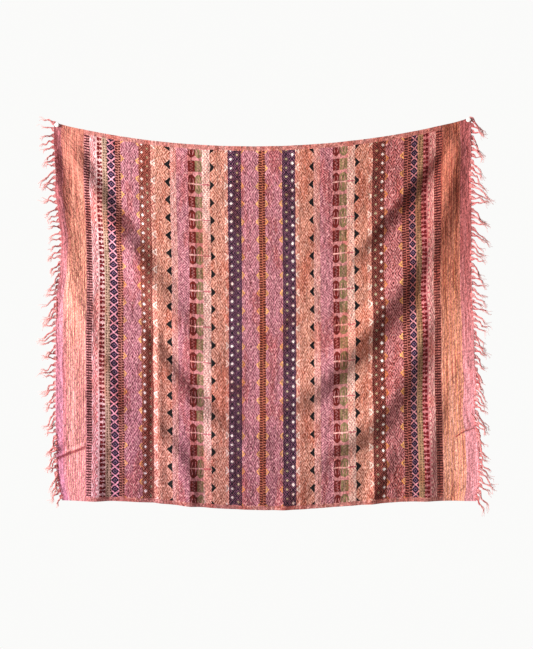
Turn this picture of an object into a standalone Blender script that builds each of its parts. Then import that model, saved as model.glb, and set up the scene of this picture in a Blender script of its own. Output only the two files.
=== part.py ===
# A woven cloth hung flat on a wall by two push pins in its top corners.
# The cloth hangs landscape way: the stripes run down and the fringed ends are at the left and right.
# Metres, +Z up. The origin is on the wall plane behind the middle of the top edge.
# +X runs to the right as the cloth is seen, and the cloth's face looks along -Y.

import math
import random
from collections import namedtuple

import bmesh
import bpy
from mathutils import Vector

# Cloth
CLOTH_THICKNESS = 0.0018
TOP_LEFT_X = -0.544
TOP_LEFT_RISE = 0.064
TOP_RIGHT_X = 0.538
TOP_RIGHT_RISE = 0.077
TOP_SAG = (TOP_LEFT_RISE + TOP_RIGHT_RISE) / 2
TOP_SAG_POWER = 0.9
CLOTH_DROP = 0.918
BOTTOM_BELLY = 0.024
BOTTOM_BELLY_X = 0.010
BOTTOM_BELLY_REACH = 0.440
COLUMNS = 54
ROWS = 42

# How far the cloth stands off the wall plane, before its folds
STAND_OFF = 0.010
PINNED_STAND_OFF = 0.0025
PIN_FLAT_REACH = 0.028
PIN_PULL_REACH = 0.090

# Fringe
SEAM_GAP = 0.0003
STRIP_WIDTH = 0.0025
QUADS_PER_ROW = 3
LOCK_SIDE = 0.0030
LOCK_TIP_SIDE = 0.0016
LOCK_SECTIONS = 5
LOCK_LANES = 3
LOCK_LANE_PITCH = 0.0042
LOCK_ANGLE_SPREAD = math.radians(8)
LOCK_LENGTH_SPREAD = 0.18
FRINGE_SEED = 7

# Pins
PIN_HEAD_RADIUS = 0.0060
PIN_HEAD_THICKNESS = 0.0050
PIN_HEAD_RIM = 0.0012
PIN_HEAD_GAP = 0.0014
PIN_NEEDLE_RADIUS = 0.0006
PIN_NEEDLE_IN_HEAD = 0.0028
PIN_NEEDLE_IN_WALL = 0.0070
PIN_NEEDLE_POINT = 0.0025
PIN_CLEARANCE = 0.0003
PIN_SEGMENTS = 24

# The woven side edges: how far right (+) or left (-) of its top corner each lies at each height.
EdgePoint = namedtuple("EdgePoint", "z left right")
EDGES = [
    EdgePoint(0.077, 0.000, 0.000),
    EdgePoint(0.018, -0.002, 0.000),
    EdgePoint(-0.025, 0.003, -0.001),
    EdgePoint(-0.080, 0.007, -0.003),
    EdgePoint(-0.110, 0.005, -0.002),
    EdgePoint(-0.170, 0.013, -0.001),
    EdgePoint(-0.240, 0.021, -0.001),
    EdgePoint(-0.310, 0.017, -0.001),
    EdgePoint(-0.400, 0.006, 0.001),
    EdgePoint(-0.470, 0.005, 0.004),
    EdgePoint(-0.540, 0.005, 0.005),
    EdgePoint(-0.616, 0.005, 0.010),
    EdgePoint(-0.690, 0.005, 0.006),
    EdgePoint(-0.762, 0.005, 0.015),
    EdgePoint(-0.835, 0.006, 0.019),
    EdgePoint(-0.875, 0.010, 0.018),
    EdgePoint(-0.918, 0.020, 0.011),
]

# The main folds, as crests toward the viewer (height above 0) and valleys toward the wall (below 0).
# Each runs through its points, and its height and half width are given at each of them.
FoldPoint = namedtuple("FoldPoint", "x z height half_width")
FOLDS = {
    "left swag crest": [
        FoldPoint(-0.520, 0.030, 0.000, 0.014),
        FoldPoint(-0.472, -0.062, 0.008, 0.020),
        FoldPoint(-0.420, -0.155, 0.016, 0.028),
        FoldPoint(-0.365, -0.250, 0.018, 0.032),
        FoldPoint(-0.312, -0.330, 0.014, 0.034),
        FoldPoint(-0.250, -0.405, 0.007, 0.036),
        FoldPoint(-0.180, -0.470, 0.000, 0.036),
    ],
    "left inner valley": [
        FoldPoint(-0.430, -0.060, 0.000, 0.020),
        FoldPoint(-0.375, -0.165, -0.004, 0.026),
        FoldPoint(-0.310, -0.260, -0.004, 0.030),
        FoldPoint(-0.235, -0.350, 0.000, 0.030),
    ],
    "left lower valley": [
        FoldPoint(-0.360, -0.400, 0.000, 0.024),
        FoldPoint(-0.285, -0.475, -0.006, 0.028),
        FoldPoint(-0.215, -0.575, -0.008, 0.028),
        FoldPoint(-0.130, -0.660, -0.007, 0.028),
        FoldPoint(-0.040, -0.700, -0.005, 0.030),
        FoldPoint(0.040, -0.705, 0.000, 0.030),
    ],
    "left lower crest": [
        FoldPoint(-0.330, -0.460, 0.000, 0.026),
        FoldPoint(-0.265, -0.560, 0.008, 0.028),
        FoldPoint(-0.190, -0.670, 0.010, 0.030),
        FoldPoint(-0.100, -0.740, 0.009, 0.032),
        FoldPoint(0.000, -0.770, 0.006, 0.034),
        FoldPoint(0.090, -0.770, 0.000, 0.034),
    ],
    "right first valley": [
        FoldPoint(0.470, -0.010, 0.000, 0.018),
        FoldPoint(0.425, -0.110, -0.006, 0.024),
        FoldPoint(0.360, -0.190, -0.008, 0.026),
        FoldPoint(0.295, -0.270, -0.006, 0.028),
        FoldPoint(0.225, -0.350, 0.000, 0.030),
    ],
    "right upper crest": [
        FoldPoint(0.505, 0.005, 0.000, 0.012),
        FoldPoint(0.450, -0.180, 0.008, 0.022),
        FoldPoint(0.392, -0.290, 0.016, 0.028),
        FoldPoint(0.330, -0.385, 0.018, 0.030),
        FoldPoint(0.255, -0.480, 0.018, 0.032),
        FoldPoint(0.165, -0.580, 0.014, 0.034),
        FoldPoint(0.070, -0.650, 0.008, 0.034),
        FoldPoint(-0.030, -0.675, 0.000, 0.034),
    ],
    "right middle valley": [
        FoldPoint(0.440, -0.300, 0.000, 0.020),
        FoldPoint(0.395, -0.400, -0.008, 0.024),
        FoldPoint(0.335, -0.480, -0.011, 0.026),
        FoldPoint(0.255, -0.575, -0.011, 0.026),
        FoldPoint(0.150, -0.665, -0.008, 0.028),
        FoldPoint(0.050, -0.715, 0.000, 0.030),
    ],
    "right lower crest": [
        FoldPoint(0.440, -0.400, 0.000, 0.024),
        FoldPoint(0.385, -0.520, 0.014, 0.030),
        FoldPoint(0.315, -0.620, 0.018, 0.034),
        FoldPoint(0.235, -0.710, 0.014, 0.034),
        FoldPoint(0.150, -0.760, 0.006, 0.034),
        FoldPoint(0.070, -0.790, 0.000, 0.034),
    ],
    "right lower valley": [
        FoldPoint(0.390, -0.680, 0.000, 0.022),
        FoldPoint(0.300, -0.735, -0.008, 0.026),
        FoldPoint(0.215, -0.775, -0.008, 0.028),
        FoldPoint(0.140, -0.820, 0.000, 0.030),
    ],
    "right end crest": [
        FoldPoint(0.520, 0.045, 0.000, 0.008),
        FoldPoint(0.506, -0.020, 0.008, 0.013),
        FoldPoint(0.488, -0.110, 0.012, 0.017),
        FoldPoint(0.464, -0.210, 0.010, 0.020),
        FoldPoint(0.452, -0.320, 0.005, 0.022),
        FoldPoint(0.450, -0.420, 0.000, 0.024),
    ],
    "right end valley": [
        FoldPoint(0.490, 0.010, 0.000, 0.010),
        FoldPoint(0.462, -0.050, -0.005, 0.014),
        FoldPoint(0.442, -0.120, -0.005, 0.016),
        FoldPoint(0.432, -0.200, 0.000, 0.018),
    ],
    "left end crest": [
        FoldPoint(-0.536, 0.035, 0.000, 0.008),
        FoldPoint(-0.540, -0.010, 0.007, 0.010),
        FoldPoint(-0.528, -0.120, 0.004, 0.014),
        FoldPoint(-0.518, -0.250, 0.007, 0.018),
        FoldPoint(-0.480, -0.400, 0.004, 0.022),
        FoldPoint(-0.470, -0.520, 0.000, 0.024),
    ],
    "left edge notch": [
        FoldPoint(-0.556, -0.022, -0.005, 0.010),
        FoldPoint(-0.530, -0.024, -0.003, 0.010),
        FoldPoint(-0.500, -0.020, 0.000, 0.010),
    ],
    "left pleat": [
        FoldPoint(-0.288, -0.440, 0.000, 0.010),
        FoldPoint(-0.287, -0.560, -0.005, 0.012),
        FoldPoint(-0.287, -0.700, -0.006, 0.012),
        FoldPoint(-0.287, -0.840, -0.005, 0.012),
        FoldPoint(-0.285, -0.920, -0.004, 0.012),
    ],
    "left end crease": [
        FoldPoint(-0.545, -0.790, -0.004, 0.010),
        FoldPoint(-0.490, -0.775, -0.004, 0.010),
        FoldPoint(-0.440, -0.762, -0.003, 0.010),
        FoldPoint(-0.340, -0.745, 0.000, 0.010),
    ],
    "bottom left crest": [
        FoldPoint(-0.458, -0.780, 0.000, 0.018),
        FoldPoint(-0.458, -0.860, 0.006, 0.022),
        FoldPoint(-0.460, -0.920, 0.010, 0.022),
    ],
    "bottom left corner": [
        FoldPoint(-0.548, -0.860, 0.000, 0.018),
        FoldPoint(-0.530, -0.890, -0.004, 0.020),
        FoldPoint(-0.510, -0.925, -0.006, 0.022),
    ],
    "right bottom crest": [
        FoldPoint(0.448, -0.600, 0.000, 0.014),
        FoldPoint(0.446, -0.720, 0.005, 0.016),
        FoldPoint(0.448, -0.850, 0.006, 0.018),
        FoldPoint(0.450, -0.925, 0.007, 0.018),
    ],
}

# Upright ripples that grow toward the bottom edge
Ripple = namedtuple("Ripple", "pitch height shift")
RIPPLES = [
    Ripple(0.071, 0.0020, 0.4),
    Ripple(0.113, 0.0024, 2.1),
    Ripple(0.047, 0.0009, 1.2),
]
RIPPLE_TOP = -0.560

# How the locks hang at each height: the angle below level where they leave the cloth and at their
# tips, in degrees, and their length.
FringePoint = namedtuple("FringePoint", "z start end length")
FRINGE_LEFT = [
    FringePoint(0.060, -55, 10, 0.048),
    FringePoint(0.036, -20, 40, 0.044),
    FringePoint(0.000, 10, 60, 0.042),
    FringePoint(-0.050, 0, 50, 0.040),
    FringePoint(-0.120, 10, 35, 0.042),
    FringePoint(-0.300, 20, 50, 0.044),
    FringePoint(-0.460, 35, 15, 0.045),
    FringePoint(-0.560, 30, 20, 0.044),
    FringePoint(-0.650, 40, 50, 0.038),
    FringePoint(-0.750, 55, 45, 0.042),
    FringePoint(-0.930, 62, 55, 0.046),
]
FRINGE_RIGHT = [
    FringePoint(0.070, 45, 50, 0.060),
    FringePoint(0.000, 35, 55, 0.058),
    FringePoint(-0.100, 25, 45, 0.055),
    FringePoint(-0.300, 30, 50, 0.054),
    FringePoint(-0.420, 20, 25, 0.056),
    FringePoint(-0.500, 45, 65, 0.050),
    FringePoint(-0.700, 62, 60, 0.050),
    FringePoint(-0.840, 50, 35, 0.044),
    FringePoint(-0.930, 72, 62, 0.054),
]


def smooth_step(value):
    value = min(max(value, 0.0), 1.0)
    return value * value * (3 - 2 * value)


def read_table(table, at, column):
    """The column's value at a height, eased between the table's rows, which run downwards."""
    if at >= table[0].z:
        return getattr(table[0], column)
    for upper, lower in zip(table, table[1:]):
        if at >= lower.z:
            share = smooth_step((upper.z - at) / (upper.z - lower.z))
            return getattr(upper, column) * (1 - share) + getattr(lower, column) * share
    return getattr(table[-1], column)


def top_edge_z(x):
    share = (x - TOP_LEFT_X) / (TOP_RIGHT_X - TOP_LEFT_X)
    chord = TOP_LEFT_RISE + (TOP_RIGHT_RISE - TOP_LEFT_RISE) * share
    return chord - TOP_SAG * max(4 * share * (1 - share), 0.0) ** TOP_SAG_POWER


def bottom_edge_z(x):
    share = min(abs(x - BOTTOM_BELLY_X) / BOTTOM_BELLY_REACH, 1.0)
    return -CLOTH_DROP - BOTTOM_BELLY * math.cos(share * math.pi / 2) ** 2


def fold_curve(points, steps=8):
    """The fold's points with more between them, on a curve through them all."""
    found = []
    for i in range(len(points) - 1):
        before = Vector(points[max(i - 1, 0)])
        start = Vector(points[i])
        end = Vector(points[i + 1])
        after = Vector(points[min(i + 2, len(points) - 1)])
        for k in range(steps):
            t = k / steps
            found.append(
                0.5
                * (
                    2 * start
                    + (end - before) * t
                    + (2 * before - 5 * start + 4 * end - after) * t * t
                    + (3 * start - before - 3 * end + after) * t * t * t
                )
            )
    found.append(Vector(points[-1]))
    return found


FOLD_CURVES = [fold_curve(points) for points in FOLDS.values()]


def fold_height(curve, x, z):
    """How far this fold lifts the cloth at a point, from the nearest place on its line."""
    nearest = None
    for start, end in zip(curve, curve[1:]):
        along_x = end[0] - start[0]
        along_z = end[1] - start[1]
        length = along_x * along_x + along_z * along_z
        share = ((x - start[0]) * along_x + (z - start[1]) * along_z) / max(length, 1e-12)
        share = min(max(share, 0.0), 1.0)
        away = math.hypot(x - start[0] - along_x * share, z - start[1] - along_z * share)
        if nearest is None or away < nearest[0]:
            here = start.lerp(end, share)
            nearest = (away, here[2], here[3])
    away, height, half_width = nearest
    return height * math.exp(-((away / half_width) ** 2))


def ripple_height(x, z):
    depth = smooth_step((RIPPLE_TOP - z) / (CLOTH_DROP + RIPPLE_TOP))
    return depth * sum(r.height * math.sin(2 * math.pi * x / r.pitch + r.shift) for r in RIPPLES)


def stand_off(x, z):
    """The distance from the wall plane to the middle of the cloth."""
    lift = STAND_OFF + ripple_height(x, z) + sum(fold_height(c, x, z) for c in FOLD_CURVES)
    lift = max(lift, PINNED_STAND_OFF)
    for pin in (LEFT_PIN, RIGHT_PIN):
        away = math.hypot(x - pin.x, z - pin.z) - PIN_FLAT_REACH
        near = smooth_step(1 - away / (PIN_PULL_REACH - PIN_FLAT_REACH))
        lift += (PINNED_STAND_OFF - lift) * near
    return lift


def cloth_point(column, row):
    """The middle of the cloth at a place in its grid, counted from the top left corner."""
    across = column / COLUMNS
    down = row / ROWS
    x = TOP_LEFT_X + (TOP_RIGHT_X - TOP_LEFT_X) * across
    z = top_edge_z(x) * (1 - down) + bottom_edge_z(x) * down
    left = TOP_LEFT_X + read_table(EDGES, z, "left") + STRIP_WIDTH + SEAM_GAP
    right = TOP_RIGHT_X + read_table(EDGES, z, "right") - STRIP_WIDTH - SEAM_GAP
    x = left + (right - left) * across
    return Vector((x, -stand_off(x, z), z))


def add_object(name, bm, material):
    mesh = bpy.data.meshes.new(name)
    bmesh.ops.recalc_face_normals(bm, faces=bm.faces)
    bm.to_mesh(mesh)
    bm.free()
    mesh.materials.append(material)
    mesh.shade_smooth()
    mesh.set_sharp_from_angle(angle=math.radians(50))
    made = bpy.data.objects.new(name, mesh)
    bpy.context.scene.collection.objects.link(made)
    return made


def add_material(name, colour, roughness, metallic=0.0):
    material = bpy.data.materials.new(name)
    material.use_nodes = True
    shader = material.node_tree.nodes["Principled BSDF"]
    shader.inputs["Base Color"].default_value = (*colour, 1.0)
    shader.inputs["Roughness"].default_value = roughness
    shader.inputs["Metallic"].default_value = metallic
    return material


def add_grid(bm, columns):
    """Faces over a list of columns of points, and its vertices as the same list of columns."""
    placed = [[bm.verts.new(point) for point in column] for column in columns]
    for left, right in zip(placed, placed[1:]):
        for row in range(len(left) - 1):
            bm.faces.new((left[row], left[row + 1], right[row + 1], right[row]))
    return placed


def thicken(bm, grid):
    """A second layer of the grid behind it, a cloth's thickness away, closed round the rim."""
    half = Vector((0, CLOTH_THICKNESS / 2, 0))
    back = add_grid(bm, [[vert.co + half for vert in column] for column in grid])
    for column in grid:
        for vert in column:
            vert.co -= half
    front_rim = rim_of(grid)
    back_rim = rim_of(back)
    for i in range(len(front_rim)):
        bm.faces.new((front_rim[i - 1], front_rim[i], back_rim[i], back_rim[i - 1]))
    return back


def rim_of(grid):
    top = [column[0] for column in grid]
    bottom = [column[-1] for column in grid]
    return grid[0][:-1] + bottom[:-1] + grid[-1][:0:-1] + top[:0:-1]


def cut_pin_holes(cloth, pins):
    for pin in pins:
        bm = bmesh.new()
        bmesh.ops.create_cone(
            bm,
            cap_ends=True,
            segments=PIN_SEGMENTS // 2,
            radius1=PIN_NEEDLE_RADIUS + PIN_CLEARANCE,
            radius2=PIN_NEEDLE_RADIUS + PIN_CLEARANCE,
            depth=6 * PINNED_STAND_OFF,
        )
        bmesh.ops.rotate(bm, verts=bm.verts, matrix=ALONG_Y)
        cutter = add_object(pin.name + "_hole_cutter", bm, WHITE_PLASTIC)
        cutter.location = (pin.x, -PINNED_STAND_OFF, pin.z)
        cutter.hide_render = True
        cutter.display_type = "WIRE"
        hole = cloth.modifiers.new(pin.name + " hole", "BOOLEAN")
        hole.operation = "DIFFERENCE"
        hole.object = cutter


def make_cloth():
    bm = bmesh.new()
    columns = [[cloth_point(c, r) for r in range(ROWS + 1)] for c in range(COLUMNS + 1)]
    thicken(bm, add_grid(bm, columns))
    cloth = add_object("cloth", bm, CLOTH_FABRIC)
    cut_pin_holes(cloth, (LEFT_PIN, RIGHT_PIN))
    return cloth


def edge_points(column):
    """The cloth's side edge, with each row divided for the fringe's strip."""
    rows = [cloth_point(column, row) for row in range(ROWS + 1)]
    points = []
    for upper, lower in zip(rows, rows[1:]):
        points += [upper.lerp(lower, k / QUADS_PER_ROW) for k in range(QUADS_PER_ROW)]
    return points + [rows[-1]]


def grow_lock(bm, ring, outward, table, lane, chance):
    """A lock of yarn from four corners of the strip (front upper, front lower, back lower, back
    upper), bending from its start angle to its end angle."""
    place = sum((vert.co for vert in ring), Vector()) / 4
    start = math.radians(read_table(table, place.z, "start"))
    end = math.radians(read_table(table, place.z, "end"))
    turn = LOCK_ANGLE_SPREAD * chance.uniform(-1, 1)
    length = read_table(table, place.z, "length") * (1 + LOCK_LENGTH_SPREAD * chance.uniform(-1, 1))
    base_y = place.y
    for section in range(1, LOCK_SECTIONS + 1):
        share = section / LOCK_SECTIONS
        angle = start + (end - start + turn) * share
        along = Vector((outward * math.cos(angle), 0, -math.sin(angle)))
        place = place + along * length / LOCK_SECTIONS
        place.y = base_y - lane * LOCK_LANE_PITCH * smooth_step(share * 1.6)
        half = (LOCK_SIDE + (LOCK_TIP_SIDE - LOCK_SIDE) * share) / 2
        deep = Vector((0, half, 0))
        high = Vector((outward * math.sin(angle), 0, math.cos(angle))) * half
        corners = (high - deep, -high - deep, deep - high, deep + high)
        grown = [bm.verts.new(place + corner) for corner in corners]
        for i in range(4):
            bm.faces.new((ring[i - 1], ring[i], grown[i], grown[i - 1]))
        ring = grown
    bm.faces.new(ring)


def make_fringe(name, column, outward, table):
    chance = random.Random(FRINGE_SEED + column)
    bm = bmesh.new()
    edge = edge_points(column)
    inner = [point + Vector((outward * SEAM_GAP, 0, 0)) for point in edge]
    outer = [point + Vector((outward * (SEAM_GAP + STRIP_WIDTH), 0, 0)) for point in edge]
    front = add_grid(bm, [inner, outer])
    back = thicken(bm, front)
    for number, i in enumerate(range(0, len(edge) - 1, 2)):
        ring = [front[1][i], front[1][i + 1], back[1][i + 1], back[1][i]]
        bm.faces.remove(bm.faces.get(ring))
        grow_lock(bm, ring, outward, table, number % LOCK_LANES, chance)
    return add_object(name, bm, FRINGE_FABRIC)


def turned(name, profile, material, place):
    """A solid turned about +Y from a profile of (radius, y) points that starts and ends on the axis."""
    bm = bmesh.new()
    verts = [bm.verts.new((radius, y, 0)) for radius, y in profile]
    edges = [bm.edges.new(pair) for pair in zip(verts, verts[1:])]
    bmesh.ops.spin(
        bm,
        geom=verts + edges,
        cent=(0, 0, 0),
        axis=(0, 1, 0),
        angle=2 * math.pi,
        steps=PIN_SEGMENTS,
    )
    bmesh.ops.remove_doubles(bm, verts=bm.verts, dist=1e-6)
    made = add_object(name, bm, material)
    made.location = place
    return made


def make_pin(pin):
    """The pin's place is where its axis passes the middle of the cloth."""
    place = (pin.x, -PINNED_STAND_OFF, pin.z)
    back = -PIN_HEAD_GAP
    rim = back - PIN_HEAD_RIM
    socket = PIN_NEEDLE_RADIUS + PIN_CLEARANCE
    socket_end = back - PIN_NEEDLE_IN_HEAD - PIN_CLEARANCE
    head = [(0, socket_end), (socket, socket_end), (socket, back), (PIN_HEAD_RADIUS, back)]
    dome = PIN_HEAD_THICKNESS - PIN_HEAD_RIM
    for k in range(5):
        angle = k * math.pi / 10
        head.append((PIN_HEAD_RADIUS * math.cos(angle), rim - dome * math.sin(angle)))
    head.append((0, rim - dome))
    turned(pin.name + "_head", head, WHITE_PLASTIC, place)
    tip = PINNED_STAND_OFF + PIN_NEEDLE_IN_WALL
    needle = [
        (0, back - PIN_NEEDLE_IN_HEAD),
        (PIN_NEEDLE_RADIUS, back - PIN_NEEDLE_IN_HEAD),
        (PIN_NEEDLE_RADIUS, tip - PIN_NEEDLE_POINT),
        (0, tip),
    ]
    turned(pin.name + "_needle", needle, STEEL, place)


for old in list(bpy.data.objects):
    bpy.data.objects.remove(old, do_unlink=True)

ALONG_Y = Vector((0, 0, 1)).rotation_difference(Vector((0, 1, 0))).to_matrix()
Pin = namedtuple("Pin", "name x z")
LEFT_PIN = Pin("left_pin", -0.5370, 0.0565)
RIGHT_PIN = Pin("right_pin", 0.5310, 0.0695)

CLOTH_FABRIC = add_material("cloth fabric", (0.42, 0.16, 0.15), 0.95)
FRINGE_FABRIC = add_material("fringe fabric", (0.50, 0.19, 0.18), 0.95)
WHITE_PLASTIC = add_material("white plastic", (0.85, 0.84, 0.82), 0.30)
STEEL = add_material("needle steel", (0.55, 0.55, 0.56), 0.30, 1.0)

make_cloth()
make_fringe("fringe_left", 0, -1, FRINGE_LEFT)
make_fringe("fringe_right", COLUMNS, 1, FRINGE_RIGHT)
make_pin(LEFT_PIN)
make_pin(RIGHT_PIN)
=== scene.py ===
import math
import random

import bpy
import numpy as np
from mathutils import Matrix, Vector, noise


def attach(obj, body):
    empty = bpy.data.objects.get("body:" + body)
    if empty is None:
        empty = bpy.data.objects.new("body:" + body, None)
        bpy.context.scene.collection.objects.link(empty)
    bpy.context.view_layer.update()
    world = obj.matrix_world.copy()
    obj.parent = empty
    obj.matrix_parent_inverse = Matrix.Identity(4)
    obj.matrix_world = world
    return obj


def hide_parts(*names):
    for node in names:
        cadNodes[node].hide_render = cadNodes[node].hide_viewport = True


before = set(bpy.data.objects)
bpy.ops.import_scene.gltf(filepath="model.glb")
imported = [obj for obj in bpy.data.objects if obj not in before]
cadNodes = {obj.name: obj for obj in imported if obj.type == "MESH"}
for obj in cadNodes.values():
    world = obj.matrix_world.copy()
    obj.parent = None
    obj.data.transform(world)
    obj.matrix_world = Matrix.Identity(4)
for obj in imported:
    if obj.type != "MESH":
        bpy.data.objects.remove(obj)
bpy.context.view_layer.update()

print("frame loaded:", ", ".join(sorted(cadNodes)))

# Metres. The origin is on the wall plane behind the middle of the cloth's top edge, and its face
# looks along -Y.

camera = {
    "place": (0.0065, -2.5, -0.4615),
    "lens": 53.34,
    "sensor": 36.0,
}

studio = {
    "ambient": (0.27, 0.215, 0.21),
    "backdrop": (0.96, 0.96, 0.95),
    "lampPlace": (-4.5, -2.3, 0.6),
    "lampAim": (0.0, 0.0, -0.45),
    "lampSize": 1.6,
    "lampPower": 610,
    "lampColour": (1.0, 0.98, 0.96),
    "floorPlace": (0, -1.075, -1.6),
    "floorSize": (6, 3.85, 1),
    "floorColour": (0.80, 0.79, 0.77),
    "floorRough": 0.8,
}


def newMaterial(name, values):
    material = bpy.data.materials.new(name)
    material.use_nodes = True
    tree = material.node_tree
    shader = tree.nodes["Principled BSDF"]
    for key, value in values.items():
        shader.inputs[key].default_value = value
    return material, tree, shader


def addCamera():
    data = bpy.data.cameras.new("camera")
    data.lens = camera["lens"]
    data.sensor_width = camera["sensor"]
    made = bpy.data.objects.new("camera", data)
    made.location = camera["place"]
    made.rotation_euler = (math.radians(90), 0, 0)
    bpy.context.scene.collection.objects.link(made)
    bpy.context.scene.camera = made


def addStudio():
    world = bpy.data.worlds.new("studio")
    world.use_nodes = True
    bpy.context.scene.world = world
    tree = world.node_tree
    back = tree.nodes["Background"]
    seen = tree.nodes.new("ShaderNodeLightPath")
    tint = tree.nodes.new("ShaderNodeMix")
    tint.data_type = "RGBA"
    tint.inputs[6].default_value = (*studio["ambient"], 1)
    tint.inputs[7].default_value = (*studio["backdrop"], 1)
    tree.links.new(seen.outputs["Is Camera Ray"], tint.inputs[0])
    tree.links.new(tint.outputs[2], back.inputs["Color"])

    data = bpy.data.lights.new("window lamp", "AREA")
    data.energy = studio["lampPower"]
    data.size = studio["lampSize"]
    data.color = studio["lampColour"]
    lamp = bpy.data.objects.new("window lamp", data)
    lamp.location = studio["lampPlace"]
    aim = Vector(studio["lampAim"]) - lamp.location
    lamp.rotation_euler = aim.to_track_quat("-Z", "Y").to_euler()
    bpy.context.scene.collection.objects.link(lamp)

    bpy.ops.mesh.primitive_plane_add(size=1, location=studio["floorPlace"])
    floor = bpy.context.object
    floor.name = "floor"
    floor.scale = studio["floorSize"]
    values = {"Base Color": (*studio["floorColour"], 1), "Roughness": studio["floorRough"]}
    floor.data.materials.append(newMaterial("floor paint", values)[0])
    scene = bpy.context.scene
    scene.view_settings.view_transform = "Standard"
    scene.view_settings.look = "None"


bpy.ops.object.select_all(action="DESELECT")
addCamera()
addStudio()
print("camera and studio set")


# Shader sums

class Wire:
    # one socket of a shader, so that sums on it read as Python
    def __init__(self, tree, socket):
        self.tree = tree
        self.socket = socket

    def node(self, kind, settings, sockets, output=0):
        made = self.tree.nodes.new(kind)
        for name, value in settings.items():
            if name == "stops":
                fillRamp(made.color_ramp, value)
            else:
                setattr(made, name, value)
        for name, value in sockets.items():
            if isinstance(value, Wire):
                self.tree.links.new(value.socket, made.inputs[name])
            else:
                made.inputs[name].default_value = value
        return Wire(self.tree, made.outputs[output])

    def math(self, operation, *values):
        return self.node("ShaderNodeMath", {"operation": operation}, dict(enumerate(values)))

    def __add__(self, other):
        return self.math("ADD", self, other)

    def __radd__(self, other):
        return self.math("ADD", other, self)

    def __sub__(self, other):
        return self.math("SUBTRACT", self, other)

    def __rsub__(self, other):
        return self.math("SUBTRACT", other, self)

    def __mul__(self, other):
        return self.math("MULTIPLY", self, other)

    def __rmul__(self, other):
        return self.math("MULTIPLY", other, self)

    def __lt__(self, other):
        return self.math("LESS_THAN", self, other)

    def __gt__(self, other):
        return self.math("GREATER_THAN", self, other)

    def __abs__(self):
        return self.math("ABSOLUTE", self)

    def fract(self):
        return self.math("FRACT", self)

    def orElse(self, other):
        return self.math("MAXIMUM", self, other)

    def snapped(self, size):
        return self.math("SNAP", self, size)

    def away(self, centre, repeat):
        # distance from the nearest repeat of a centre
        return self.math("PINGPONG", self - centre, repeat / 2)

    def between(self, low, high):
        return (self > low) * (self < high)

    def near(self, other, reach):
        return abs(self - other) < reach

    def eased(self, low, high, start=0.0, end=1.0):
        sockets = {0: self, 1: low, 2: high, 3: start, 4: end}
        return self.node("ShaderNodeMapRange", {"interpolation_type": "SMOOTHSTEP"}, sockets)

    def mix(self, below, above):
        sockets = {0: self, 6: below, 7: above}
        return self.node("ShaderNodeMix", {"data_type": "RGBA"}, sockets, 2)

    def tinted(self, tint, share=1.0):
        # this colour times a tint
        sockets = {0: share, 6: self, 7: tint}
        return self.node("ShaderNodeMix", {"data_type": "RGBA", "blend_type": "MULTIPLY"}, sockets, 2)

    def noise(self, scale, detail=2.0, roughness=0.5, dimensions="2D", output=0):
        sockets = {"Vector": self, "Scale": scale, "Detail": detail, "Roughness": roughness}
        return self.node("ShaderNodeTexNoise", {"noise_dimensions": dimensions}, sockets, output)


def fillRamp(ramp, stops):
    while len(ramp.elements) > 1:
        ramp.elements.remove(ramp.elements[-1])
    for number, (place, colour) in enumerate(stops):
        element = ramp.elements[0] if number == 0 else ramp.elements.new(place)
        element.position = place
        element.color = colour


def paint(red, green, blue):
    # a screen colour, 0 to 255, as the shader wants it
    shares = [value / 255 for value in (red, green, blue)]
    return (*[s / 12.92 if s < 0.04045 else ((s + 0.055) / 1.055) ** 2.4 for s in shares], 1.0)


def readUv(tree, layer):
    source = tree.nodes.new("ShaderNodeUVMap")
    source.uv_map = layer
    split = tree.nodes.new("ShaderNodeSeparateXYZ")
    tree.links.new(source.outputs[0], split.inputs[0])
    return Wire(tree, source.outputs[0]), Wire(tree, split.outputs[0]), Wire(tree, split.outputs[1])


# Woven pattern. Across is mm from the left woven edge, down is mm below the top edge.

weave = {
    "width": 1080.3,
    "height": 940.0,
    "repeat": 46.12,
    "centre": 10.6,
    "thread": 1.153,
    "selvedge": 11.0,
    "rung": 6.59,
    "lineStep": 6.1,
    "middle": 540,
    "leftPanel": 77.5,
    "rightPanel": 999.7,
}
halfRepeat = weave["repeat"] / 2

yarns = {
    "rose": paint(198, 118, 122),
    "roseDeep": paint(206, 124, 126),
    "palePink": paint(218, 148, 146),
    "shell": paint(238, 186, 174),
    "petal": paint(246, 202, 198),
    "blushRose": paint(206, 116, 122),
    "clearPink": paint(244, 170, 186),
    "brickPink": paint(176, 76, 76),
    "deepRed": paint(118, 10, 22),
    "maroon": paint(78, 14, 22),
    "brown": paint(84, 16, 14),
    "darkBrown": paint(70, 10, 10),
    "tan": paint(204, 134, 120),
    "stone": paint(204, 170, 146),
    "stoneDark": paint(180, 142, 106),
    "moss": paint(118, 90, 66),
    "navy": paint(22, 3, 34),
    "lilac": paint(164, 118, 156),
    "mauveLight": paint(216, 146, 156),
    "mauveDark": paint(130, 52, 72),
    "madderLight": paint(214, 132, 134),
    "madderDark": paint(92, 18, 26),
    "honey": paint(252, 190, 110),
    "honeyDark": paint(232, 150, 76),
    "rust": paint(104, 34, 26),
    "rustDark": paint(76, 12, 12),
    "rustLine": paint(212, 134, 116),
    "rustDim": paint(176, 98, 84),
    "white": paint(255, 244, 236),
    "sage": paint(190, 172, 140),
    "navyLine": paint(150, 94, 118),
    "orangeLight": paint(231, 168, 143),
    "orangeDark": paint(160, 70, 48),
    "black": paint(8, 2, 6),
    "cream": paint(250, 216, 196),
    "blush": paint(255, 230, 214),
    "tanDeep": paint(192, 112, 100),
    "brickRed": paint(112, 24, 18),
    "sageBlock": paint(146, 126, 88),
    "centreOrange": paint(200, 116, 88),
}

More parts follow.
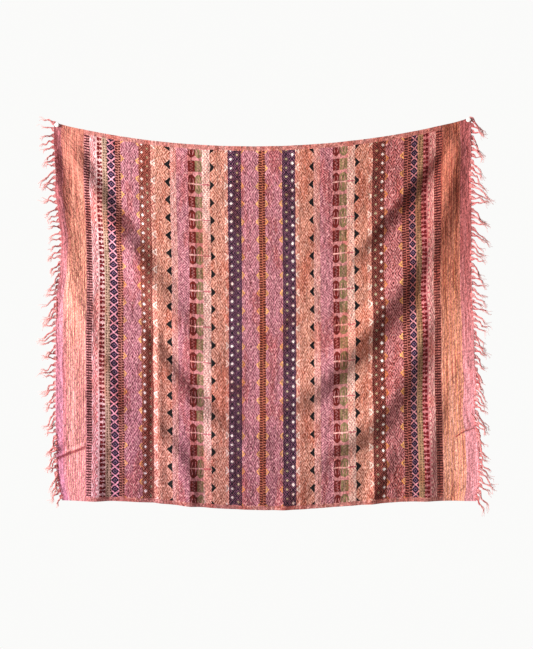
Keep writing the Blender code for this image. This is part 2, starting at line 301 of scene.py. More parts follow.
# Yarns of the bands that come more than once: the ground, the figure on it and the accent
sets = {
    "mauve": ("mauveLight", "mauveDark", "mauveDark"),
    "mauveHoney": ("mauveLight", "mauveDark", "honey"),
    "orange": ("orangeLight", "orangeDark", "orangeDark"),
    "orangeBlack": ("orangeLight", "orangeDark", "black"),
    "orangeBlush": ("orangeLight", "brickPink", "blush"),
    "seed": ("shell", "brickPink", "white"),
    "redBow": ("palePink", "brickRed", "shell"),
    "sageBow": ("palePink", "sageBlock", "shell"),
    "spray": ("cream", "blushRose", "white"),
    "navyWhite": ("navy", "navyLine", "white"),
    "navySage": ("navy", "navyLine", "sage"),
}

# Each band: where it ends, its design, whether it faces right (1) or left (-1), and its yarns
bands = [
    (18.0, "plain", 1, "rose", "rose", "rose"),
    (77.5, "streaks", 1, "rose", "rose", "honey"),
    (92.6, "ladder", 1, "palePink", "maroon", "maroon"),
    (107.4, "zigzag", 1, "petal", "blushRose", "petal"),
    (124.0, "hooks", 1, "petal", "deepRed", "deepRed"),
    (137.8, "dots", 1, "stone", "moss", "moss"),
    (158.6, "diamonds", 1, "clearPink", "navy", "lilac"),
    (173.2, "rungs", 1, "tan", "brown", "brown"),
    (182.0, "buds", 1, *sets["mauveHoney"]),
    (210.3, "nests", 1, *sets["mauve"]),
    (219.4, "buds", -1, *sets["mauveHoney"]),
    (235.6, "latticeWhite", 1, "rust", "rustLine", "white"),
    (250.1, "latticeSage", 1, "rust", "rustLine", "sage"),
    (261.6, "points", 1, *sets["orangeBlush"]),
    (286.5, "nests", 1, *sets["orange"]),
    (299.8, "arrows", -1, *sets["orangeBlack"]),
    (316.0, "seeds", 1, *sets["seed"]),
    (346.3, "fans", 1, *sets["mauve"]),
    (364.5, "bows", 1, *sets["redBow"]),
    (382.2, "bows", -1, *sets["sageBow"]),
    (402.5, "branches", 1, *sets["spray"]),
    (413.9, "arrows", 1, *sets["orangeBlack"]),
    (440.7, "nests", 1, *sets["orange"]),
    (448.8, "points", -1, *sets["orangeBlush"]),
    (466.6, "latticeWhite", 1, *sets["navyWhite"]),
    (483.6, "latticeSage", 1, *sets["navySage"]),
    (491.4, "buds", 1, *sets["mauveHoney"]),
    (520.0, "nests", 1, *sets["mauve"]),
    (528.3, "buds", -1, *sets["mauveHoney"]),
    (545.0, "rungs", 1, "centreOrange", "brown", "brown"),
    (553.3, "buds", 1, *sets["mauveHoney"]),
    (579.8, "nests", 1, *sets["mauve"]),
    (589.7, "buds", -1, *sets["mauveHoney"]),
    (606.5, "latticeSage", -1, *sets["navySage"]),
    (623.5, "latticeWhite", -1, *sets["navyWhite"]),
    (632.8, "points", 1, *sets["orangeBlush"]),
    (659.4, "nests", 1, *sets["orange"]),
    (670.8, "arrows", -1, *sets["orangeBlack"]),
    (687.7, "seeds", 1, *sets["seed"]),
    (720.2, "fans", 1, *sets["mauve"]),
    (737.4, "bows", 1, *sets["redBow"]),
    (757.4, "bows", -1, *sets["sageBow"]),
    (777.1, "branches", 1, *sets["spray"]),
    (789.1, "arrows", 1, *sets["orangeBlack"]),
    (812.2, "nests", 1, *sets["orange"]),
    (822.4, "points", -1, *sets["orangeBlush"]),
    (838.4, "latticeSage", -1, "rustDark", "rustDim", "sage"),
    (855.4, "latticeWhite", -1, "rustDark", "rustDim", "white"),
    (863.7, "buds", 1, "madderLight", "madderDark", "honeyDark"),
    (891.8, "nests", 1, "madderLight", "madderDark", "madderDark"),
    (902.2, "buds", -1, "madderLight", "madderDark", "honey"),
    (920.1, "rungs", 1, "tanDeep", "darkBrown", "brown"),
    (937.3, "diamonds", 1, "mauveLight", "navy", "lilac"),
    (951.6, "dots", 1, "stoneDark", "moss", "moss"),
    (968.2, "hooks", -1, "madderLight", "deepRed", "deepRed"),
    (983.1, "zigzag", -1, "shell", "blushRose", "shell"),
    (999.7, "ladder", 1, "tanDeep", "maroon", "maroon"),
    (1060.8, "streaks", 1, "roseDeep", "roseDeep", "honey"),
    (1090.0, "plain", 1, "roseDeep", "roseDeep", "roseDeep"),
]


def stripes(value, dark=0.5):
    return value.fract() < dark


def ladderDesign(share, down, across):
    # bars that thicken here and there until they run together
    thick = down.away(205.0, 470.0) * -0.0010 + 0.74 - (across > weave["middle"]) * 0.12
    bars = stripes(down * (1 / weave["rung"]), thick)
    stem = share.near(0.42, 0.03)
    return bars.orElse(stem) * (abs(share - 0.52) < 0.48), None


def rungsDesign(share, down, across):
    # two columns of bars, half a rung apart
    tilt = down * (1 / weave["rung"]) - share * 0.2
    bars = stripes(tilt + (share > 0.55) * 0.35, 0.66)
    return bars * (1 - share.near(0.56, 0.04)), None


def zigzagDesign(share, down, across):
    swing = down.away(weave["centre"], halfRepeat) * (1 / 11.5)
    first = share.near(0.10 + swing * 0.30, 0.08)
    second = share.near(0.42 + swing * 0.30, 0.10)
    bead = share.near(0.86, 0.12) * down.away(weave["centre"], halfRepeat / 2).between(0.0, 2.4)
    return first.orElse(second).orElse(bead), None


def hooksDesign(share, down, across):
    # pairs of hooks that lie on their sides, one pair to a half repeat
    turn = down.away(11.2, halfRepeat) - 4.8
    body = share.between(0.22, 0.66) * turn.near(0, 4.3)
    arm = share.between(0.62, 1.01) * turn.near(0.6, 3.4)
    slit = share.near(0.67, 0.05) * (turn > 1.0)
    return body.orElse(arm) * (1 - slit), None


def dotsDesign(share, down, across):
    beat = (down * (1 / weave["rung"])).fract().near(0.5, 0.30)
    columns = share.near(0.40, 0.12).orElse(share.near(0.86, 0.14))
    return beat * columns, None


def diamondsDesign(share, down, across):
    away = down.away(9.5, halfRepeat)
    side = abs(share * 2 - 1)
    reach = side * 0.92 + away * (1 / 9.9)
    solid = reach < 1.0
    corner = reach > 1.42
    eye = reach.near(0.40, 0.06)
    return solid.orElse(corner), eye


def nestLines(side, away):
    # nested diamonds, from the middle of their zone in mm
    return stripes((side + away * 0.62) * (1 / weave["lineStep"]), 0.5)


def budsDesign(share, down, across):
    away = down.away(weave["centre"], weave["repeat"])
    reach = share + away * (1 / 9.6)
    shell = reach.between(0.55, 1.0)
    core = reach < 0.30
    return nestLines(22.5 - share * 9.0, away), shell.orElse(core)


def nestsDesign(share, down, across):
    away = down.away(weave["centre"], weave["repeat"])
    return nestLines(abs(share - 0.5) * 27, away), None


def fansDesign(share, down, across):
    # strokes that fan out from the right, closer together than the nests
    away = down.away(weave["centre"] + halfRepeat, weave["repeat"])
    return stripes((share * 26 + away * 0.9) * (1 / weave["lineStep"]), 0.46), None


def latticeDesign(share, down, across, middle, late, wide):
    # small rhombs with their own outlines repeated round them; the right half starts later
    turned = down + (across > weave["middle"]) * (halfRepeat / 2)
    away = turned.away(weave["centre"] + late, halfRepeat)
    reach = abs(share - middle) * 16.5 + away * 0.92
    lines = stripes(reach * (1 / 5.8) - 0.12, 0.38)
    return lines * (reach > 6.0), reach < wide


def latticeWhiteDesign(share, down, across):
    return latticeDesign(share, down, across, 0.46, 0.0, 4.2)


def latticeSageDesign(share, down, across):
    return latticeDesign(share, down, across, 0.38, halfRepeat / 2, 3.9)


def pointsDesign(share, down, across):
    # diamonds in outline that lean on the lattice beside them
    away = down.away(weave["centre"], weave["repeat"])
    reach = (1 - share) * 0.8 + away * (1 / 10.5)
    shell = reach.between(0.58, 1.0)
    core = reach < 0.28
    return nestLines(13.0 + share * 9.0, away), shell.orElse(core)


def arrowsDesign(share, down, across):
    away = down.away(weave["centre"], weave["repeat"])
    reach = share * 0.86 + away * (1 / 13.0)
    notch = share < 0.11 - away * 0.03
    return nestLines(22.5 - share * 9.0, away) * (reach > 1.15), (reach < 1.0) * (1 - notch)


def seedsDesign(share, down, across):
    swing = down.away(weave["centre"], halfRepeat)
    first = stripes((share * 16 + swing * 0.9) * (1 / 5.8), 0.44)
    second = stripes((share * 16 - swing * 0.9) * (1 / 5.8), 0.30)
    return first.orElse(second * (share > 0.5)), None


def bowsDesign(share, down, across):
    # over two repeats: a thin line, a leaf that tapers, a gap and a solid block
    away = down.away(weave["centre"], weave["repeat"] * 2)
    side = abs(share * 2 - 1)
    leaf = (side < 3.1 - away * 0.114) * away.between(2.0, 24.8)
    vein = side.near(0.66 - away * 0.018, 0.08) * away.between(2.0, 15.5)
    block = away > 31.8
    swing = down.away(0, 7.7) * (1 / 3.85)
    mark = share.near(0.30 + swing * 0.40, 0.07) * (away > 33.5)
    hem = side < 0.99
    return (leaf * (1 - vein)).orElse(block * (1 - mark * 0.6)) * hem, away < 1.5


def branchesDesign(share, down, across):
    # sprays of short strokes that lean away from each other
    away = down.away(weave["centre"], weave["repeat"])
    spray = stripes((share * 20 + away * 0.9) * (1 / 7.6), 0.34) * (down.away(0, 5.2) > 0.9)
    second = stripes((share * 20 - away * 0.9) * (1 / 9.2), 0.24)
    line = down.away(weave["centre"], weave["repeat"] * 2) < 1.6
    return spray.orElse(second * 0.6).orElse(line), None


# the designs whose fine lines are worn thin in places
wornDesigns = ("nests", "fans", "buds", "seeds", "points", "arrows")

designs = {
    "ladder": ladderDesign,
    "rungs": rungsDesign,
    "zigzag": zigzagDesign,
    "hooks": hooksDesign,
    "dots": dotsDesign,
    "diamonds": diamondsDesign,
    "buds": budsDesign,
    "nests": nestsDesign,
    "fans": fansDesign,
    "latticeWhite": latticeWhiteDesign,
    "latticeSage": latticeSageDesign,
    "points": pointsDesign,
    "arrows": arrowsDesign,
    "seeds": seedsDesign,
    "bows": bowsDesign,
    "branches": branchesDesign,
}


def gather(across, design):
    # a mask of all the bands of one design, and how far across its own band a point is
    inside = 0
    share = 0
    start = 0.0
    for end, name, facing, *_ in bands:
        if name == design:
            here = across.between(start, end)
            place = (across - start) * (1 / (end - start))
            if facing < 0:
                place = 1 - place
            inside = here + inside
            share = here * place + share
        start = end
    return inside, share


def stepped(across, column):
    # one yarn colour for each band, from left to right
    last = bands[0]
    colour = yarns[last[column]]
    for band in bands[1:]:
        if band[column] != last[column]:
            colour = (across > last[0]).mix(colour, yarns[band[column]])
        last = band
    return colour


def stretched(u, v, alongU, alongV):
    return u.node("ShaderNodeCombineXYZ", {}, {0: u * alongU, 1: v * alongV})


# The plain woven ends and edges: from and to, the dyes of their threads by place in a ramp, and the
# two colours that they turn to toward the bottom, partly faded dye and partly painted light
panels = [
    (18.0, 77.5, [
        (0.32, 140, 50, 46), (0.42, 176, 88, 80), (0.50, 204, 122, 110), (0.57, 224, 150, 134),
        (0.66, 228, 168, 144),
    ], (180, 100, 112), (226, 162, 166)),
    (999.7, 1060.8, [
        (0.32, 130, 44, 36), (0.43, 172, 76, 60), (0.51, 204, 116, 96), (0.58, 224, 144, 120),
        (0.66, 238, 160, 134),
    ], (196, 112, 92), (248, 190, 170)),
    (-5.0, 18.0, [
        (0.36, 160, 84, 86), (0.50, 196, 120, 126), (0.64, 222, 154, 162),
    ], (200, 124, 142), (240, 178, 194)),
    (1050.0, 1090.0, [
        (0.36, 176, 84, 80), (0.50, 206, 116, 114), (0.64, 228, 146, 146),
    ], (208, 132, 136), (246, 188, 194)),
]

# Single honey threads among them
honeyThreads = [
    {
        "pitch": 5.6, "shift": 0.0, "share": 0.30, "between": (27.0, 76.0),
        "ease": (0.05, 0.5, 0.22, 0.52), "brightest": (43.5, 2.0), "gain": 0.2, "dye": (250, 204, 146),
    },
    {
        "pitch": 6.4, "shift": 0.2, "share": 0.32, "between": (1004.0, 1050.0),
        "ease": (0.1, 0.6, 0.30, 0.50), "brightest": (1036.5, 2.5), "gain": 0.25, "dye": (246, 178, 112),
    },
]


def endPanels(u, v, colour, across):
    # threads of many dyes packed side by side, paler toward the bottom, partly as painted light
    fine = stretched(u, v, 640.0, 9.0).noise(1.0, 3.0, 0.7)
    broad = stretched(u, v, 110.0, 3.4).noise(1.0)
    mixed = fine * 0.72 + broad * 0.28
    # paler toward the bottom: partly faded dye, partly painted light
    fadeAndPaintedLight = v.eased(0.15, 0.85) * 0.55
    for start, end, threads, dark, light in panels:
        stops = [(place, paint(*dye)) for place, *dye in threads]
        streaks = mixed.node("ShaderNodeValToRGB", {"stops": stops}, {0: mixed})
        fadedAndLitColour = mixed.eased(0.35, 0.62).mix(paint(*dark), paint(*light))
        colour = across.between(start, end).mix(colour, fadeAndPaintedLight.mix(streaks, fadedAndLitColour))
    for row in honeyThreads:
        thread = stripes(across * (1 / row["pitch"]) + row["shift"], row["share"])
        thread = thread * across.between(*row["between"])
        strength = v.eased(*row["ease"]) + across.near(*row["brightest"]) * row["gain"]
        colour = (thread * strength).mix(colour, paint(*row["dye"]))
    return colour


# The surface over the cut: noise scales, how far the pattern wanders in mm, the line of the painted shadow
# in the crease that runs in from the lower left edge, and the shares of the raised height in mm
surface = {
    "wobble": 60.0,
    "wanderAcross": 3.6,
    "wanderDown": 5.5,
    "wear": 100.0,
    "bloom": (22.0, 7.0),
    "streak": (420.0, 26.0),
    "mottle": 300.0,
    "grain": 165.0,
    "pucker": 85.0,
    "creaseSlope": 0.41,
    "creaseDown": 835.0,
    "paleShare": 0.30,
    "puckerHigh": 4.4,
    "grainHigh": 1.6,
    "mottleHigh": 0.6,
    "figureHigh": 0.2,
}


def makeClothFabric():
    values = {"Roughness": 0.92, "Specular IOR Level": 0.2, "Sheen Weight": 0.15}
    material, tree, shader = newMaterial("woven bands", values)
    layer, u, v = readUv(tree, "cut")
    wobble = layer.noise(surface["wobble"], 3.0, 0.6, output="Color")
    split = tree.nodes.new("ShaderNodeSeparateColor")
    tree.links.new(wobble.socket, split.inputs[0])
    pull = Wire(tree, split.outputs["Red"])
    sag = Wire(tree, split.outputs["Green"])
    across = (u * 1000 + (pull - 0.5) * surface["wanderAcross"]).snapped(weave["thread"] / 2)
    down = (v * 1000 + (sag - 0.5) * surface["wanderDown"]).snapped(weave["thread"] / 2)

    # the picking is worn away in places, so the finest lines come and go
    wear = layer.noise(surface["wear"], 3.0, 0.6).eased(0.36, 0.60, 0.40, 1.0)
    figure = 0
    accent = 0
    worn = 0
    for name, design in designs.items():
        inside, share = gather(across, name)
        drawn, lit = design(share, down, across)
        if name in wornDesigns:
            drawn = drawn * wear
            worn = inside + worn
        figure = drawn * inside + figure
        if lit is not None:
            accent = lit * inside + accent

    colour = figure.mix(stepped(across, 3), stepped(across, 4))
    colour = accent.mix(colour, stepped(across, 5))
    colour = endPanels(u, v, colour, across)

    # the plain woven selvedges along the top and bottom
    middle = across.between(weave["leftPanel"], weave["rightPanel"])
    edge = stretched(u, v, 60.0, 900.0).noise(1.0)
    edgeColour = edge.eased(0.35, 0.65).mix(paint(178, 98, 92), paint(226, 160, 148))
    selvedge = (down < weave["selvedge"]).orElse(down > weave["height"] - weave["selvedge"])
    colour = (selvedge * middle).mix(colour, edgeColour)

    # painted shade with deeper dye at the upper right, pinker toward the lower left, painted shade toward
    # the bottom, a painted highlight under the top edge, darker over the left of the middle, painted shade
    # over the tops of both ends and down the left edge, painted shadow in one crease, and patches where the
    # dye took more or less
    leftEnd = across < weave["leftPanel"]
    rightEnd = across > weave["rightPanel"]
    # painted shade, with a deeper dye, at the upper right, where the cloth turns away from the light
    deepDyeAndShade = u.eased(0.35, 1.0) * (1 - v.eased(0.05, 0.65)) * (across < weave["rightPanel"])
    cool = v.eased(0.25, 0.9) * (1 - u.eased(0.1, 0.8))
    # painted shade down the left edge below the pin
    leftEdgeShade = (1 - u.eased(0.0, 0.03)) * v.eased(0.0, 0.04) * (1 - v.eased(0.2, 0.34))
    # painted shadow along the crease that runs in from the lower left edge
    crease = abs(down + across * surface["creaseSlope"] - surface["creaseDown"])
    crease = (1 - crease.eased(1.5, 6.0)) * (1 - across.eased(60.0, 100.0))
    bloom = stretched(u, v, *surface["bloom"]).noise(1.0, 3.0, 0.6)
    for share, tint in (
        # painted shade with deeper dye at the upper right
        (deepDyeAndShade * 0.7, (0.66, 0.46, 0.43)),
        (cool * 0.8, (0.96, 0.90, 1.04)),
        # painted shade toward the bottom
        (v.eased(0.30, 0.95) * middle * 0.8, (0.72, 0.66, 0.68)),
        # a painted highlight along a strip under the top edge, made by darkening what lies below it
        (v.eased(0.02, 0.14) * middle * 0.8, (0.86, 0.84, 0.84)),
        # darker over the left of the middle
        ((1 - u.eased(0.45, 0.85)) * middle * 0.8, (0.86, 0.81, 0.86)),
        # painted shade over the top of the left end
        ((1 - v.eased(0.0, 0.5)) * leftEnd * 0.9, (0.72, 0.64, 0.64)),
        # painted shade down the left edge
        (leftEdgeShade * 0.8, (0.66, 0.42, 0.44)),
        # painted shade, with a mauve tone, at the bottom of the left end
        (v.eased(0.78, 1.0) * leftEnd * 0.8, (0.70, 0.60, 0.66)),
        # painted shadow in the crease
        (crease, (0.42, 0.20, 0.22)),
        (v.eased(0.3, 0.7) * leftEnd * 0.8, (0.96, 0.92, 1.03)),
        (v.eased(0.35, 0.7) * rightEnd * 0.8, (1.0, 1.0, 1.08)),
        # painted shade over the top of the right end, where it turns away from the light
        ((1 - v.eased(0.1, 0.7)) * rightEnd * 0.9, (0.62, 0.51, 0.53)),
        (bloom.eased(0.50, 0.66) * middle * 0.8, (0.88, 0.60, 0.52)),
        (bloom.eased(0.50, 0.34) * middle * 0.8, (1.08, 1.12, 1.12)),
    ):
        colour = colour.tinted((*tint, 1), share)

    # uneven dye along the threads, and rubbed lint on the worn bands
    streak = stretched(u, v, *surface["streak"]).noise(1.0, 3.0)
    mottle = layer.noise(surface["mottle"], 3.0, 0.65)
    grain = layer.noise(surface["grain"], 2.0, 0.6)
    colour = colour.tinted(streak.eased(0.25, 0.75, 0.74, 1.16))
    colour = colour.tinted(mottle.eased(0.25, 0.75, 0.72, 1.20))
    colour = colour.tinted(grain.eased(0.30, 0.70, 0.78, 1.16))
    paler = grain.eased(0.50, 0.74) * worn * (1 - accent)
    colour = (paler * surface["paleShare"]).mix(colour, paint(244, 204, 196))
    tree.links.new(colour.socket, shader.inputs["Base Color"])

    # raised threads and puckers
    height = layer.noise(surface["pucker"], 3.0, 0.6) * surface["puckerHigh"] + grain * surface["grainHigh"]
    height = height + mottle * surface["mottleHigh"] + figure * surface["figureHigh"]
    bump = u.node("ShaderNodeBump", {}, {"Height": height, "Distance": 0.001, "Strength": 1.0})
    tree.links.new(bump.socket, shader.inputs["Normal"])
    return material


# Cloth, on the folds of its solid

cloth = {
    "leftX": -0.544,
    "leftRise": 0.064,
    "rightX": 0.538,
    "rightRise": 0.077,
    "sag": 0.0705,
    "sagPower": 0.9,
    "drop": 0.918,
    "belly": 0.024,
    "bellyX": 0.010,
    "bellyReach": 0.440,
    "standOff": 0.010,
    "pinnedOff": 0.0025,
    "pinFlat": 0.028,
    "pinPull": 0.090,
    "thickness": 0.0016,
    "columns": 236,
    "rows": 196,
    "smoothTo": 50,
    "flat": (1.105, 0.988),
    "cutLeft": 0.5434,
    "crumples": [(24, 15, 0.3, 0.0022), (58, 46, 5.1, 0.0012)],
    "leastLift": 0.8,
    "pressed": 0.7,
}

pinPlaces = [(-0.5370, 0.0565), (0.5310, 0.0695)]

# How far right of its top corner each woven edge lies at each height
edgeHeights = [
    0.077, 0.018, -0.025, -0.080, -0.110, -0.170, -0.240, -0.310, -0.400,
    -0.470, -0.540, -0.616, -0.690, -0.762, -0.835, -0.875, -0.918,
]
leftEdge = [
    0.000, -0.002, 0.003, 0.007, 0.005, 0.013, 0.021, 0.017, 0.006,
    0.005, 0.005, 0.005, 0.005, 0.005, 0.006, 0.010, 0.020,
]
rightEdge = [
    0.000, 0.000, -0.001, -0.003, -0.002, -0.001, -0.001, -0.001, 0.001,
    0.004, 0.005, 0.010, 0.006, 0.015, 0.019, 0.018, 0.011,
]

# How far the stripes bend sideways, in mm, at heights from the top: band place, heights, bends
stripeBends = [
    (85, (0.010, -0.395, -0.528, -0.905), (-0.8, 7.8, 5.2, 6.0)),
    (148, (0.010, -0.395, -0.884), (-1.8, 6.2, 9.4)),
    (537, (0.000, -0.426, -0.910), (0.0, 3.1, 3.1)),
    (991, (0.034, -0.208, -0.374, -0.434, -0.616, -0.889), (4.4, -1.6, -1.6, 1.3, 1.3, 6.8)),
]

# Folds, in mm: crests toward the viewer above 0 and valleys below 0, as (x, z, height, half width)
folds = {
    "left lattice valley": [
        (-293, -385, 0, 10), (-292, -480, -4.5, 9), (-292, -620, -6, 9), (-289, -760, -5.5, 9),
        (-287, -900, -1, 10),
    ],
    "left lattice crest": [
        (-276, -385, 0, 10), (-275, -480, 4, 10), (-275, -620, 5.5, 10), (-272, -760, 4.8, 10),
        (-270, -900, 1, 10),
    ],
    "left swag crest": [
        (-520, 30, 0, 14), (-472, -62, 8, 20), (-420, -155, 14, 28), (-362, -250, 16, 31),
        (-308, -330, 14, 32), (-262, -400, 11, 33), (-210, -475, 8, 34), (-160, -535, 7, 34),
        (-100, -585, 4, 34), (-30, -620, 0, 34),
    ],
    "left inner valley": [
        (-486, 12, 0, 14), (-428, -60, -5, 18), (-365, -165, -5, 22), (-300, -255, -3, 24),
        (-225, -340, 0, 26),
    ],
    "left side crest": [
        (-500, -350, 0, 22), (-470, -430, 6, 24), (-422, -570, 6, 26), (-386, -660, 8, 22),
        (-370, -730, 0, 22),
    ],
    "left bottom swag": [
        (-312, -680, 0, 18), (-262, -755, 11, 22), (-208, -830, 13, 24), (-190, -925, 10, 24),
    ],
    "right inner crest": [
        (452, -10, 0, 14), (388, -86, 9, 18), (322, -166, 11, 20), (256, -246, 8, 22), (190, -320, 0, 24),
    ],
    "right hem crest": [
        (330, -780, 0, 14), (312, -830, 9, 18), (284, -890, 11, 20), (276, -925, 11, 20),
    ],
    "middle hem crest": [
        (100, -850, 0, 18), (66, -900, 6, 20), (50, -940, 8, 20),
    ],
    "right end flare": [
        (560, -360, 0, 45), (568, -500, 10, 58), (574, -700, 12, 64), (570, -860, 8, 56),
        (560, -925, 5, 50),
    ],
    "left lower valley": [
        (-360, -400, 0, 24), (-285, -475, -7, 28), (-215, -575, -8, 28), (-130, -660, -8, 28),
        (-40, -700, -7, 30), (40, -705, 0, 30),
    ],
    "left lower crest": [
        (-330, -460, 0, 26), (-265, -560, 10, 28), (-190, -670, 11, 30), (-100, -745, 13, 30),
        (0, -775, 7, 32), (90, -775, 0, 34),
    ],
    "right first valley": [
        (465, -10, 0, 18), (417, -110, -8, 22), (350, -190, -8, 24), (285, -270, -6, 28),
        (215, -350, 0, 30),
    ],
    "right upper crest": [
        (505, 5, 0, 12), (450, -180, 4, 22), (392, -290, 14, 28), (330, -385, 18, 30),
        (255, -480, 18, 32), (165, -580, 15, 34), (70, -650, 9, 34), (-30, -675, 0, 34),
    ],
    "right middle valley": [
        (440, -300, 0, 20), (395, -400, -8, 24), (335, -480, -11, 26), (255, -575, -11, 26),
        (150, -665, -8, 28), (50, -715, 0, 30),
    ],
    "right lower crest": [
        (442, -405, 0, 24), (394, -530, 14, 30), (334, -640, 19, 34), (260, -718, 18, 32),
        (180, -775, 13, 32), (100, -815, 0, 32),
    ],
    "right lower valley": [
        (390, -700, 0, 22), (320, -750, -6, 24), (235, -800, -8, 26), (150, -860, 0, 28),
    ],
    "right end crest": [
        (520, 45, 0, 8), (498, -20, 6, 16), (479, -113, 9, 24), (456, -210, 9, 28), (438, -300, 6, 28),
        (430, -400, 0, 26),
    ],
    "right end valley": [
        (490, 10, 0, 10), (452, -50, -5, 14), (432, -120, -4, 16), (420, -200, 0, 18),
    ],
    "left end crest": [
        (-536, 35, 0, 8), (-538, -40, 8, 12), (-530, -120, 9, 16), (-518, -210, 7, 18),
        (-492, -350, 4, 22), (-478, -440, 3, 22), (-470, -520, 0, 24),
    ],
    "left edge notch": [
        (-556, -22, -5, 10), (-530, -24, -3, 10), (-500, -20, 0, 10),
    ],
    "left pleat": [
        (-288, -440, 0, 8), (-287, -560, -6, 10), (-287, -700, -8, 12), (-287, -840, -8, 12),
        (-285, -920, -6, 12),
    ],
    "left end crease": [
        (-548, -790, -6, 8), (-490, -775, -6.5, 8), (-440, -762, -4, 8), (-340, -745, 0, 8),
    ],
    "bottom left crest": [
        (-436, -740, 0, 18), (-436, -820, 9, 22), (-438, -920, 13, 24),
    ],
    "bottom left corner": [
        (-548, -860, 0, 18), (-530, -890, -4, 20), (-510, -925, -6, 22),
    ],
    "right bottom crest": [
        (452, -600, 0, 18), (442, -700, 9, 22), (424, -800, 11, 24), (410, -925, 12, 26),
    ],
    "storage crease": [
        (-380, -468, 0, 5), (-240, -474, -1.2, 5), (0, -476, -1.6, 5), (120, -475, -2.8, 5),
        (300, -474, -2.8, 5), (400, -474, 0, 6),
    ],
    "right end slant": [
        (488, -750, -1, 6), (512, -742, -3, 6), (543, -728, -3, 6),
    ],
}

ripples = [(0.071, 0.0009, 0.4), (0.113, 0.0012, 2.1), (0.047, 0.0006, 1.2)]
rippleTop = -0.560


def smoothStep(value):
    value = np.clip(value, 0.0, 1.0)
    return value * value * (3 - 2 * value)


def easedTable(at, heights, values):
    # values at heights that run downwards, eased between them
    at = np.asarray(at, float)
    found = np.full(at.shape, float(values[-1]))
    for i in range(len(heights) - 2, -1, -1):
        share = smoothStep((heights[i] - at) / (heights[i] - heights[i + 1]))
        here = values[i] * (1 - share) + values[i + 1] * share
        found = np.where(at >= heights[i + 1], here, found)
    return np.where(at >= heights[0], values[0], found)


def topEdge(x):
    share = (x - cloth["leftX"]) / (cloth["rightX"] - cloth["leftX"])
    chord = cloth["leftRise"] + (cloth["rightRise"] - cloth["leftRise"]) * share
    return chord - cloth["sag"] * np.maximum(4 * share * (1 - share), 0.0) ** cloth["sagPower"]


def bottomEdge(x):
    share = np.minimum(np.abs(x - cloth["bellyX"]) / cloth["bellyReach"], 1.0)
    return -cloth["drop"] - cloth["belly"] * np.cos(share * math.pi / 2) ** 2


def foldCurve(points, steps=8):
    points = np.array(points) / 1000
    found = []
    for i in range(len(points) - 1):
        before = points[max(i - 1, 0)]
        start = points[i]
        end = points[i + 1]
        after = points[min(i + 2, len(points) - 1)]
        for k in range(steps):
            t = k / steps
            found.append(0.5 * (
                2 * start
                + (end - before) * t
                + (2 * before - 5 * start + 4 * end - after) * t * t
                + (3 * start - before - 3 * end + after) * t * t * t
            ))
    found.append(points[-1])
    return np.array(found)


def foldHeight(curve, x, z):
    nearest = np.full(x.shape, 1e9)
    height = np.zeros(x.shape)
    half = np.ones(x.shape)
    for start, end in zip(curve, curve[1:]):
        along = end[:2] - start[:2]
        share = ((x - start[0]) * along[0] + (z - start[1]) * along[1]) / max(along @ along, 1e-12)
        share = np.clip(share, 0.0, 1.0)
        away = np.hypot(x - start[0] - along[0] * share, z - start[1] - along[1] * share)
        closer = away < nearest
        nearest = np.where(closer, away, nearest)
        height = np.where(closer, start[2] + (end[2] - start[2]) * share, height)
        half = np.where(closer, start[3] + (end[3] - start[3]) * share, half)
    return height * np.exp(-((nearest / half) ** 2))


def standOff(x, z):
    # the distance from the wall plane to the middle of the cloth
    depth = smoothStep((rippleTop - z) / (cloth["drop"] + rippleTop))
    waves = sum(h * np.sin(2 * math.pi * x / pitch + shift) for pitch, h, shift in ripples)
    lift = cloth["standOff"] + depth * waves
    for points in folds.values():
        lift = lift + foldHeight(foldCurve(points), x, z)
    lift = np.maximum(lift, cloth["pinnedOff"])
    for pinX, pinZ in pinPlaces:
        away = np.hypot(x - pinX, z - pinZ) - cloth["pinFlat"]
        near = smoothStep(1 - away / (cloth["pinPull"] - cloth["pinFlat"]))
        lift = lift + (cloth["pinnedOff"] - lift) * near
    return lift


def clothPoints(across, down):
    # points of the hung cloth from its cut: mm across from the left woven edge, share of its height
    flatX = across / 1000 - cloth["cutLeft"]
    z = topEdge(flatX) * (1 - down) + bottomEdge(flatX) * down
    places = [0.0]
    shifts = [cloth["leftX"] + easedTable(z, edgeHeights, leftEdge) + cloth["cutLeft"]]
    for place, heights, bends in stripeBends:
        places.append(place)
        shifts.append(easedTable(z, heights, [b / 1000 for b in bends]))
    places.append(weave["width"])
    cutRight = weave["width"] / 1000 - cloth["cutLeft"]
    shifts.append(cloth["rightX"] + easedTable(z, edgeHeights, rightEdge) - cutRight)
    shift = shifts[0]
    for i in range(1, len(places)):
        share = smoothStep((across - places[i - 1]) / (places[i] - places[i - 1]))
        shift = np.where(across >= places[i - 1], shifts[i - 1] * (1 - share) + shifts[i] * share, shift)
    x = flatX + shift
    z = topEdge(x) * (1 - down) + bottomEdge(x) * down
    return x, z


def clothLift(x, z):
    lift = standOff(x, z)
    rough = np.array([
        sum(noise.noise((a * wide, b * tall, seed)) * size for wide, tall, seed, size in cloth["crumples"])
        for a, b in zip(x.ravel(), z.ravel())
    ]).reshape(x.shape)
    lift = np.maximum(lift + rough, cloth["pinnedOff"] * cloth["leastLift"])
    for pinX, pinZ in pinPlaces:
        away = np.hypot(x - pinX, z - pinZ)
        lift = np.where(away < cloth["pinFlat"] * cloth["pressed"], cloth["pinnedOff"], lift)
    return lift


def addMesh(name, points, faces, cut, fabric):
    # a smooth mesh with a place in the cut for each point
    mesh = bpy.data.meshes.new(name)
    mesh.from_pydata(points, [], faces)
    layer = mesh.uv_layers.new(name="cut")
    loops = np.zeros(len(mesh.loops), np.int32)
    mesh.loops.foreach_get("vertex_index", loops)
    layer.data.foreach_set("uv", np.array(cut, np.float32)[loops].ravel())
    mesh.materials.append(fabric)
    mesh.shade_smooth()
    made = bpy.data.objects.new(name, mesh)
    bpy.context.scene.collection.objects.link(made)
    return made


